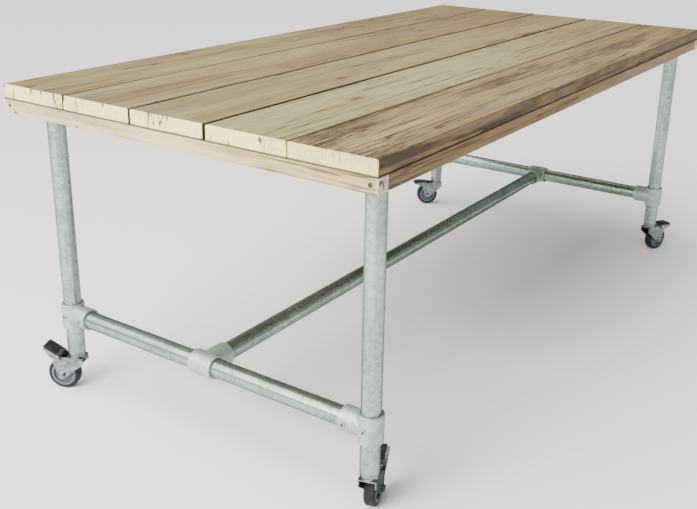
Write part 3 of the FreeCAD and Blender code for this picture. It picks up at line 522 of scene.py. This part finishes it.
no_cut_end = 2.0
batten_wood = wood_finish("batten_wood", turned=True, Offset=(0.8, 4.9, 0.5),
                          Pale=(0.5, 0.4, 0.28, 1), Mid=(0.36, 0.28, 0.19, 1),
                          Dark=(0.16, 0.11, 0.07, 1), Far=(0.4, 0.3, 0.2, 1), Weathering=0.6,
                          Half_Length=no_cut_end)
painted(["cross_batten_left", "cross_batten_middle", "cross_batten_right"], batten_wood)
spigot_wood = wood_finish("spigot_wood", Offset=(0.2, 0.4, 0.6), Pale=(0.6, 0.47, 0.3, 1),
                          Mid=(0.5, 0.37, 0.22, 1), Weathering=0.1, Knots=0.0, Half_Length=no_cut_end)
painted(["leg_spigots"], spigot_wood)


# ---------------------------------------------------------------- tubes
# Hot-dip galvanised steel tube: four legs, two end rails and a stretcher. The zinc has a cloudy
# spangle, faint drawing lines along the tube, and darker scuffs.

zinc_tree, zinc_in, zinc_out = group("zinc_coat", [
    ("Bright", "NodeSocketColor", (0.42, 0.48, 0.44, 1)),
    ("Dull", "NodeSocketColor", (0.25, 0.305, 0.275, 1)),
    ("Lines", "NodeSocketVector", (300, 300, 6)),
    ("Scuffs", "NodeSocketFloat", 0.15),
    ("Smoothest", "NodeSocketFloat", 0.2),
    ("Roughest", "NodeSocketFloat", 0.36),
], [("Color", "NodeSocketColor"), ("Roughness", "NodeSocketFloat"), ("Height", "NodeSocketFloat")])
tree = zinc_tree
zinc_place = add(tree, "ShaderNodeTexCoord").outputs["Object"]
spangle_cells = add(tree, "ShaderNodeTexVoronoi", {"Vector": zinc_place, "Scale": 130.0})
spangle = add(tree, "ShaderNodeSeparateColor", {0: spangle_cells.outputs["Color"]}).outputs[0]
zinc_clouds = cloud(tree, zinc_place, (9.0, 9.0, 9.0), 4.0)
drawing_lines = add(tree, "ShaderNodeTexNoise", {
    "Vector": stretched(tree, zinc_place, zinc_in.outputs["Lines"]), "Scale": 1.0,
    "Detail": 3.0}).outputs["Fac"]
scuffs = between(tree, cloud(tree, zinc_place, (45.0, 45.0, 30.0), 6.0, 0.7), 0.6, 0.68)
zinc_mix = total(tree, product(tree, spangle, 0.25), product(tree, zinc_clouds, 0.6),
                 product(tree, drawing_lines, 0.3))
zinc_color = blended(tree, between(tree, zinc_mix, 0.35, 0.8), zinc_in.outputs["Dull"],
                     zinc_in.outputs["Bright"])
zinc_color = layered(tree, zinc_color, [(scuffs, zinc_in.outputs["Scuffs"], (0.2, 0.21, 0.21, 1))])
zinc_roughness = add(tree, "ShaderNodeMapRange", {
    "Value": zinc_mix, "From Min": 0.3, "From Max": 0.85, "To Min": zinc_in.outputs["Roughest"],
    "To Max": zinc_in.outputs["Smoothest"]}).outputs[0]
zinc_height = total(tree, product(tree, drawing_lines, 0.4), product(tree, zinc_clouds, 0.6))
tree.links.new(zinc_color, zinc_out.inputs["Color"])
tree.links.new(zinc_roughness, zinc_out.inputs["Roughness"])
tree.links.new(zinc_height, zinc_out.inputs["Height"])


def zinc_finish(name, relief, metal, **values):
    """A zinc coating, with how metallic it looks and how deep its relief is."""
    made, tree, shader = finish(name)
    coat = add(tree, "ShaderNodeGroup", node_tree=zinc_tree)
    for label, value in values.items():
        coat.inputs[label].default_value = value
    bump = add(tree, "ShaderNodeBump", {
        "Height": coat.outputs["Height"], "Distance": relief, "Strength": 0.5})
    tree.links.new(coat.outputs["Color"], shader.inputs["Base Color"])
    tree.links.new(coat.outputs["Roughness"], shader.inputs["Roughness"])
    tree.links.new(bump.outputs["Normal"], shader.inputs["Normal"])
    shader.inputs["Specular Tint"].default_value = (0.2, 0.22, 0.21, 1)
    shader.inputs["Metallic"].default_value = metal
    return made


for tube_finish, lines, tube_names in (
        ("leg_zinc", (350, 350, 7), ["leg_fl", "leg_fr", "leg_bl", "leg_br"]),
        ("rail_zinc", (350, 7, 350), ["end_rail_left", "end_rail_right"]),
        ("stretcher_zinc", (7, 350, 350), ["stretcher"])):
    painted(tube_names, zinc_finish(tube_finish, relief=0.00004, metal=0.9, Scuffs=0.05, Lines=lines))


# ---------------------------------------------------------------- tube fittings
# Malleable iron tees, hot-dip galvanised to a duller, slightly pimpled grey. Socket grub screws
# in raised bosses clamp the tubes.

tee_zinc = zinc_finish("tee_zinc", relief=0.0006, metal=0.65, Lines=(60, 60, 60),
                       Bright=(0.5, 0.56, 0.52, 1), Dull=(0.36, 0.415, 0.38, 1), Scuffs=0.15,
                       Smoothest=0.38, Roughest=0.55)
painted([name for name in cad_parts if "_tee_" in name], tee_zinc)
screw_zinc = zinc_finish("screw_zinc", relief=0.0001, metal=0.95, Lines=(200, 200, 200),
                         Bright=(0.4, 0.4, 0.38, 1), Dull=(0.2, 0.2, 0.19, 1), Smoothest=0.25,
                         Roughest=0.4)
painted(["grub_screws", "batten_screws", "lath_screws", "spigot_screws"], screw_zinc)
rusty_screw = zinc_finish("rusty_screw", relief=0.0001, metal=0.5, Lines=(200, 200, 200),
                          Bright=(0.16, 0.13, 0.1, 1), Dull=(0.05, 0.04, 0.03, 1), Smoothest=0.4,
                          Roughest=0.6)
painted(["corner_screws"], rusty_screw)


# ---------------------------------------------------------------- castors
# Four swivel castors on expander plugs in the tube ends: bright zinc-plated pressed forks over
# ball races, plastic hubs on a plain bush, black rubber tyres, and steel pedals with black pads.

castor_zinc = zinc_finish("castor_zinc", relief=0.0001, metal=0.95, Lines=(60, 60, 60),
                          Bright=(0.34, 0.37, 0.36, 1), Dull=(0.15, 0.17, 0.17, 1), Scuffs=0.3,
                          Smoothest=0.2, Roughest=0.34)
painted([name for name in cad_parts
         if name.startswith(("castor_", "swivel_", "fork_", "axle_set_"))], castor_zinc)
painted([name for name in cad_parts
         if name.startswith("pedal_") and "pad" not in name], castor_zinc)

moulded_tree, moulded_in, moulded_out = group("moulded_surface", [
    ("Face", "NodeSocketColor", (0.2, 0.25, 0.27, 1)),
    ("Dust", "NodeSocketColor", (0.35, 0.36, 0.35, 1)),
    ("Dustiness", "NodeSocketFloat", 0.3),
    ("Grip", "NodeSocketFloat", 0.5),
], [("Color", "NodeSocketColor"), ("Roughness", "NodeSocketFloat"), ("Height", "NodeSocketFloat")])
tree = moulded_tree
moulded_place = add(tree, "ShaderNodeTexCoord").outputs["Object"]
moulded_clouds = cloud(tree, moulded_place, (60.0, 60.0, 60.0), 5.0, 0.6)
moulded_pores = cloud(tree, moulded_place, (900.0, 900.0, 900.0), 2.0)
dusty = between(tree, moulded_clouds, 0.45, 0.75)
moulded_color = layered(tree, moulded_in.outputs["Face"], [
    (dusty, moulded_in.outputs["Dustiness"], moulded_in.outputs["Dust"])])
moulded_roughness = total(tree, moulded_in.outputs["Grip"], product(tree, moulded_clouds, 0.2))
tree.links.new(moulded_color, moulded_out.inputs["Color"])
tree.links.new(moulded_roughness, moulded_out.inputs["Roughness"])
tree.links.new(total(tree, moulded_pores, moulded_clouds), moulded_out.inputs["Height"])


def moulded_finish(name, relief, **values):
    """A moulded plastic or rubber with dust in its texture."""
    made, tree, shader = finish(name)
    skin = add(tree, "ShaderNodeGroup", node_tree=moulded_tree)
    for label, value in values.items():
        skin.inputs[label].default_value = value
    bump = add(tree, "ShaderNodeBump", {
        "Height": skin.outputs["Height"], "Distance": relief, "Strength": 0.4})
    shader.inputs["Specular IOR Level"].default_value = 0.3
    tree.links.new(skin.outputs["Color"], shader.inputs["Base Color"])
    tree.links.new(skin.outputs["Roughness"], shader.inputs["Roughness"])
    tree.links.new(bump.outputs["Normal"], shader.inputs["Normal"])
    return made


hub_plastic = moulded_finish("hub_plastic", relief=0.0002, Face=(0.09, 0.125, 0.14, 1),
                             Dust=(0.2, 0.235, 0.245, 1), Dustiness=0.5, Grip=0.35)
tyre_rubber = moulded_finish("tyre_rubber", relief=0.0003, Face=(0.009, 0.009, 0.01, 1),
                             Dust=(0.035, 0.034, 0.032, 1), Dustiness=0.5, Grip=0.6)
pad_plastic = moulded_finish("pad_plastic", relief=0.0002, Face=(0.014, 0.014, 0.015, 1),
                             Dust=(0.06, 0.06, 0.058, 1), Dustiness=0.4, Grip=0.4)
painted([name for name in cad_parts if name.startswith("wheel_hub_")], hub_plastic)
painted([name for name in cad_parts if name.startswith("tyre_")], tyre_rubber)
painted([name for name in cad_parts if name.startswith("pedal_pad_")], pad_plastic)
